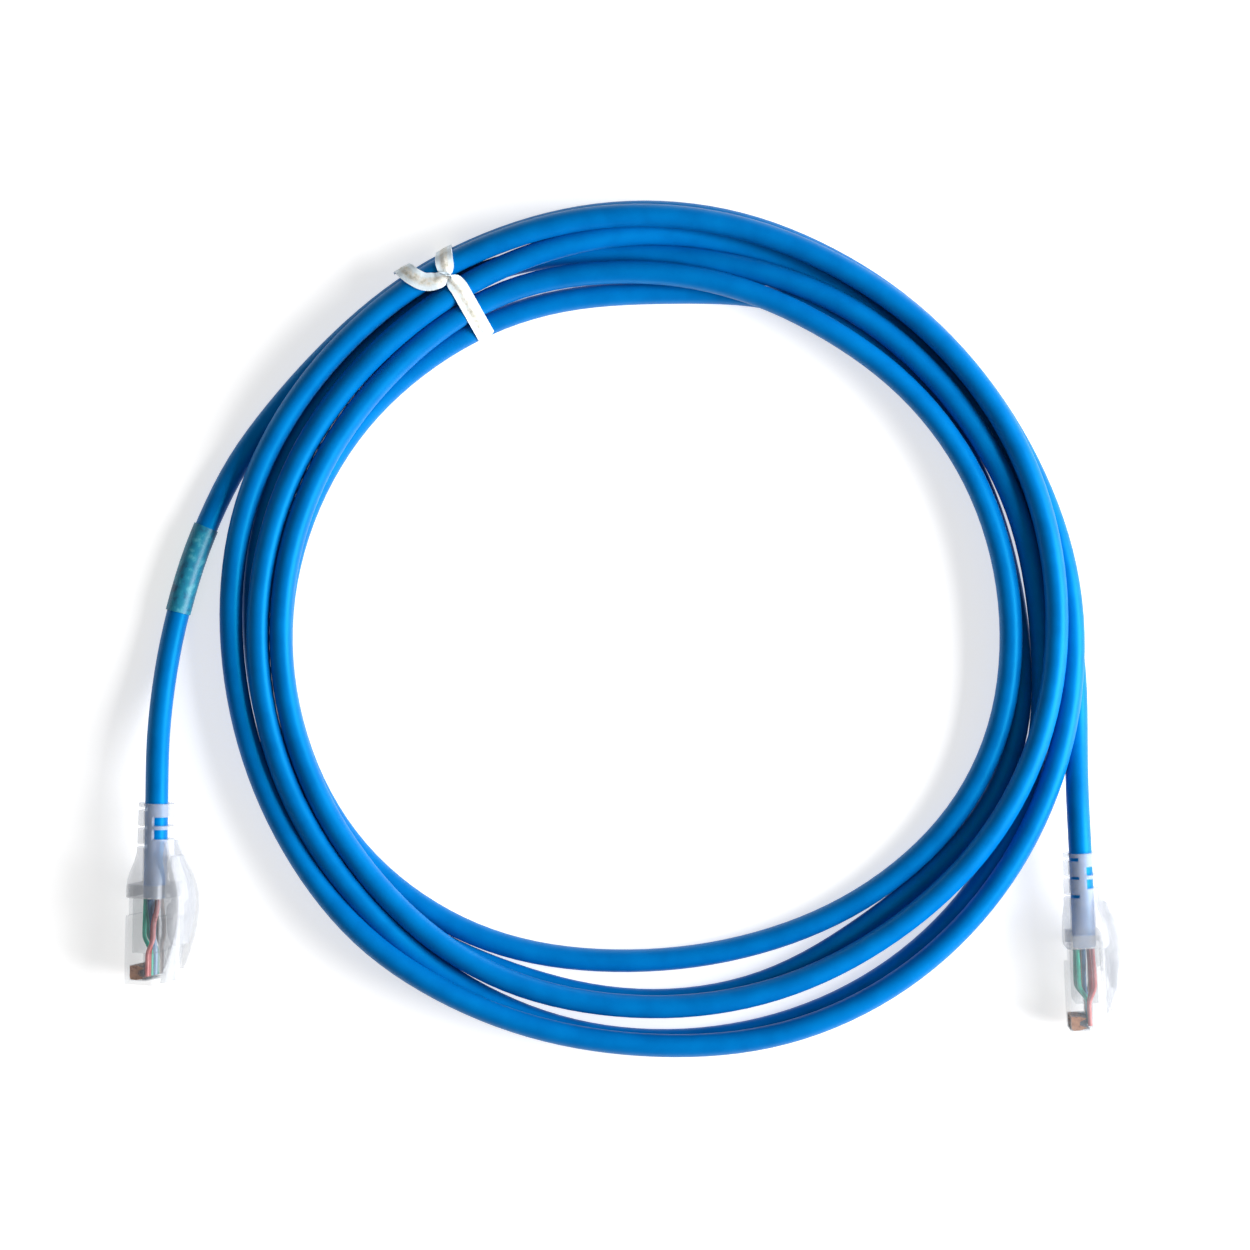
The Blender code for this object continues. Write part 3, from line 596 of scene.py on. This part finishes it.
def hull_round(circles, radius):
    """The tight band round circles given by their centres, from underneath and back to it."""
    points = sorted((x + radius * math.cos(math.radians(d)), z + radius * math.sin(math.radians(d)))
                    for x, z in circles for d in range(0, 360, 6))
    halves = []
    for run in (points, points[::-1]):
        chain = []
        for p in run:
            while len(chain) > 1 and ((chain[-1][0] - chain[-2][0]) * (p[1] - chain[-2][1])
                                      <= (chain[-1][1] - chain[-2][1]) * (p[0] - chain[-2][0])):
                chain.pop()
            chain.append(p)
        halves += chain[:-1]
    ring = np.array(halves + halves[:1])
    along = np.concatenate(([0.0], np.cumsum(np.hypot(*np.diff(ring, axis=0).T))))
    wanted = (np.linspace(0.0, along[-1], BAND_POINTS) + BAND_START * along[-1]) % along[-1]
    return [(np.interp(d, along, ring[:, 0]), np.interp(d, along, ring[:, 1])) for d in wanted]


def ribbon_mesh(name, points, ups, widths, twists):
    """A flat ribbon with a wire down its middle, twisted about its own length."""
    sections = []
    last = len(points) - 1
    for i, (point, up, width, twist) in enumerate(zip(points, ups, widths, twists)):
        ahead = (points[min(i + 1, last)] - points[max(i - 1, 0)]).normalized()
        side = ahead.cross(up).normalized()
        up = side.cross(ahead)
        side, up = (math.cos(twist) * side + math.sin(twist) * up,
                    math.cos(twist) * up - math.sin(twist) * side)
        half = width / 2
        profile = [(-half, -TIE_HALF_T), (-0.5 * MM, -TIE_HALF_T), (-0.2 * MM, -TIE_CORE),
                   (0.2 * MM, -TIE_CORE), (0.5 * MM, -TIE_HALF_T), (half, -TIE_HALF_T),
                   (half, TIE_HALF_T), (0.5 * MM, TIE_HALF_T), (0.2 * MM, TIE_CORE),
                   (-0.2 * MM, TIE_CORE), (-0.5 * MM, TIE_HALF_T), (-half, TIE_HALF_T)]
        sections.append([point + side * x + up * z for x, z in profile])
    mesh = loft_mesh(name, sections)
    across = (0.0, 0.37, 0.45, 0.55, 0.63, 1.0, 1.0, 0.63, 0.55, 0.45, 0.37, 0.0)
    for polygon in mesh.polygons:
        for index in polygon.loop_indices:
            corner = mesh.loops[index].vertex_index % len(across)
            mesh.uv_layers[0].data[index].uv.x = across[corner]
    return mesh


def tie_directions():
    """The directions outwards from the coil's centre and along the strands, at the tie."""
    angle = math.radians(TIE_ANGLE)
    return Vector((-math.cos(angle), math.sin(angle), 0.0)), Vector((math.sin(angle), math.cos(angle), 0.0))


def tie_place(radius, shift, height):
    outward, along = tie_directions()
    return Vector((*COIL_CENTRE, height)) + outward * radius + along * shift


def build_tie_loop(band):
    """The band drawn tight round the strands and twisted once on top."""
    outward = tie_directions()[0]
    middle = np.mean([z for _, z in band])
    shift_at, shift = np.array(TIE_LOOP).T * MM
    points, ups, widths, twists = [], [], [], []
    for i, (r, z) in enumerate(band):
        before, after = band[max(i - 1, 0)], band[min(i + 1, len(band) - 1)]
        normal = Vector((after[1] - before[1], before[0] - after[0])).normalized()
        knot, turned = 0.0, math.pi * (i > len(band) // 2)
        if z > middle:
            knot = math.exp(-((r - TIE_KNOT) / TIE_KNOT_LENGTH) ** 2)
            turned = math.pi / (1 + math.exp((r - TIE_KNOT) / TIE_TWIST_LENGTH))
        points.append(tie_place(r, np.interp(r, shift_at, shift), z + TIE_KNOT_RISE * knot))
        ups.append(outward * normal.x + Vector((0, 0, normal.y)))
        widths.append(TIE_WIDTH - (TIE_WIDTH - TIE_KNOT_WIDTH) * knot)
        twists.append(turned)
    return new_object("tie_loop", ribbon_mesh("tie_loop", points, ups, widths, twists))


def build_tie_leg(top):
    """The free end, from the knot out over the coil's edge, widening and then turning down."""
    outward = tie_directions()[0]
    leg = catmull_rom([tie_place(r * MM, s * MM, z * MM + top - TIE_TOP) for r, s, z in TIE_LEG], 6)
    ups, widths, twists = [], [], []
    for i in range(len(leg)):
        share = i / (len(leg) - 1)
        over = min(1.0, max(0.0, (share - 0.55) / 0.2))
        ups.append(Vector((0, 0, 1 - over)) + outward * over)
        widths.append(TIE_KNOT_WIDTH + (TIE_WIDTH - TIE_KNOT_WIDTH) * min(1.0, share / 0.3))
        twists.append(1.3 * max(0.0, 1 - share / 0.25))
    return new_object("tie_ribbon", ribbon_mesh("tie_ribbon", leg, ups, widths, twists))


def build_tie(turns, material):
    """A loop round all the strands at the tie, and its free end."""
    angle, radius, height = turns
    crossings = np.arange(TIE_ANGLE, angle[-1], 360.0)
    strands = zip(np.interp(crossings, angle, radius), np.interp(crossings, angle, height))
    band = hull_round(list(strands), CABLE_R + TIE_CORE + 0.03 * MM)
    loop = build_tie_loop(band)
    free = build_tie_leg(max(z for _, z in band))
    for item in (loop, free):
        item.data.materials.append(material)
        bake(item, sharp=30)
        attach(item, "cable")
    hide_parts("twist_tie")
    return loop, free


# ---------------------------------------------------------------- plug ends

def build_boot(end, matrix, material):
    """Milky sleeve: slotted collar, shell over the housing's rear, and a cheek on each side."""
    name = "boot_shell_" + end
    sections = []
    for y, half_w, low, high, power in smoothed(BOOT_STATIONS):
        ring = superellipse(half_w, low, high, power, 48)
        sections.append([Vector((x, y, z)) * MM for x, z in ring])
    boot = new_object(name, loft_mesh(name, sections))
    for side in (-1, 1):
        sections = []
        for y, inner, low, top in smoothed(CHEEK_STATIONS, 3):
            near, far = side * inner, side * (inner + CHEEK_THICKNESS)
            sections.append([Vector(corner) * MM for corner in
                             ((near, y, low), (far, y, low), (far, y, top), (near, y, top))])
        combine(boot, loft_mesh("cheek", sections), "UNION")
    bore_r = CABLE_R / MM + CLEARANCE
    around = np.linspace(0, 2 * math.pi, 33)[:-1]
    bore = [[Vector((bore_r * math.cos(a), y, bore_r * math.sin(a))) * MM for a in around]
            for y in (-2.0, 19.0)]
    combine(boot, loft_mesh("bore", bore), "DIFFERENCE")
    w, h = HOUSING_HALF_W + CLEARANCE, HOUSING_HALF_H + CLEARANCE
    combine(boot, box_mesh("pocket", (-w, HOUSING_REAR_Y - CLEARANCE, -h), (w, BOOT_FRONT_Y + 2, h)),
            "DIFFERENCE")
    for y, width, side in COLLAR_SLOTS:
        near, far = sorted((0.8 * side, 6.0 * side))
        combine(boot, box_mesh("slot", (-6, y - width / 2, near), (6, y + width / 2, far)), "DIFFERENCE")
    add_bevel(boot, 0.2)
    bake(boot, sharp=38)
    boot.data.materials.clear()
    boot.data.materials.append(material)
    boot.data.transform(matrix)
    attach(boot, "cable")
    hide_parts("boot_" + end)
    return boot


def build_tongue(end, matrix, material):
    """Arched tongue between the cheeks, over the latch."""
    name = "boot_tongue_" + end
    half_t = TONGUE_THICKNESS / 2
    sections = []
    for y, z, half_w, drop in smoothed(TONGUE_STATIONS):
        arch = [Vector((half_w * u, y, z - drop * u ** 4)) for u in np.linspace(-1, 1, 17)]
        top = [point + Vector((0, 0, half_t)) for point in arch]
        under = [point - Vector((0, 0, half_t)) for point in reversed(arch)]
        sections.append([point * MM for point in top + under])
    tongue = new_object(name, loft_mesh(name, sections), material)
    add_bevel(tongue, 0.25, angle=50.0)
    bake(tongue, sharp=40)
    tongue.data.transform(matrix)
    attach(tongue, "guard_" + end)
    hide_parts("boot_guard_" + end)


def conductor_path(i):
    """From its pair at the jacket's cut end to its place in one flat row over the contacts."""
    start_x, start_z = WIRE_STARTS[i]
    end_x = ((WAYS - 1) / 2 - i) * PITCH
    points = []
    for y in np.linspace(WIRE_START_Y, WIRE_END_Y, 34):
        across = min(1.0, (y - WIRE_START_Y) / (WIRE_SPREAD_Y - WIRE_START_Y))
        down = min(1.0, max(0.0, (y - WIRE_DOWN_Y) / (WIRE_LEVEL_Y - WIRE_DOWN_Y)))
        across = across * across * (3 - 2 * across)
        down = down * down * (3 - 2 * down)
        points.append(Vector((start_x + (end_x - start_x) * across, y,
                              start_z + (WIRE_ROW_Z - start_z) * down)) * MM)
    return points


def build_conductor(end, i, matrix, material):
    name = "wire_%s_%d" % (end, i + 1)
    path = [matrix @ point for point in conductor_path(i)]
    wire = new_object(name, tube_mesh(name, path, WIRE_R * MM, 14), material)
    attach(wire, "cable")
    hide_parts("conductor_%s_%d" % (end, i + 1))


def finish_node(name, material, bevel):
    """Give a CAD node its material and rounded edges."""
    node = bpy.data.objects[name]
    node.data.materials.clear()
    node.data.materials.append(material)
    add_bevel(node, bevel)


def build_end(end, materials):
    matrix = end_matrix(end)
    boot = build_boot(end, matrix, materials["boot_plastic"])
    build_tongue(end, matrix, materials["boot_plastic"])
    finish_node("plug_housing_" + end, materials["clear_plastic"], bevel=0.2)
    finish_node("plug_latch_" + end, materials["clear_plastic"], bevel=0.2)
    for i, colour in enumerate(WIRE_COLOURS):
        finish_node("contact_%s_%d" % (end, i + 1), materials["gold"], bevel=0.04)
        build_conductor(end, i, matrix, materials["wire_" + colour])
    return [boot, bpy.data.objects["plug_housing_" + end]]


# ---------------------------------------------------------------- build

make_stage()
turns = lay_turns()
route = cord_route(turns)
materials = make_materials()
cord = build_cord(route, materials["jacket"])
pieces = [build_label(route, materials["label"]), *build_tie(turns, materials["tie"])]
for end in ENDS:
    pieces += build_end(end, materials)
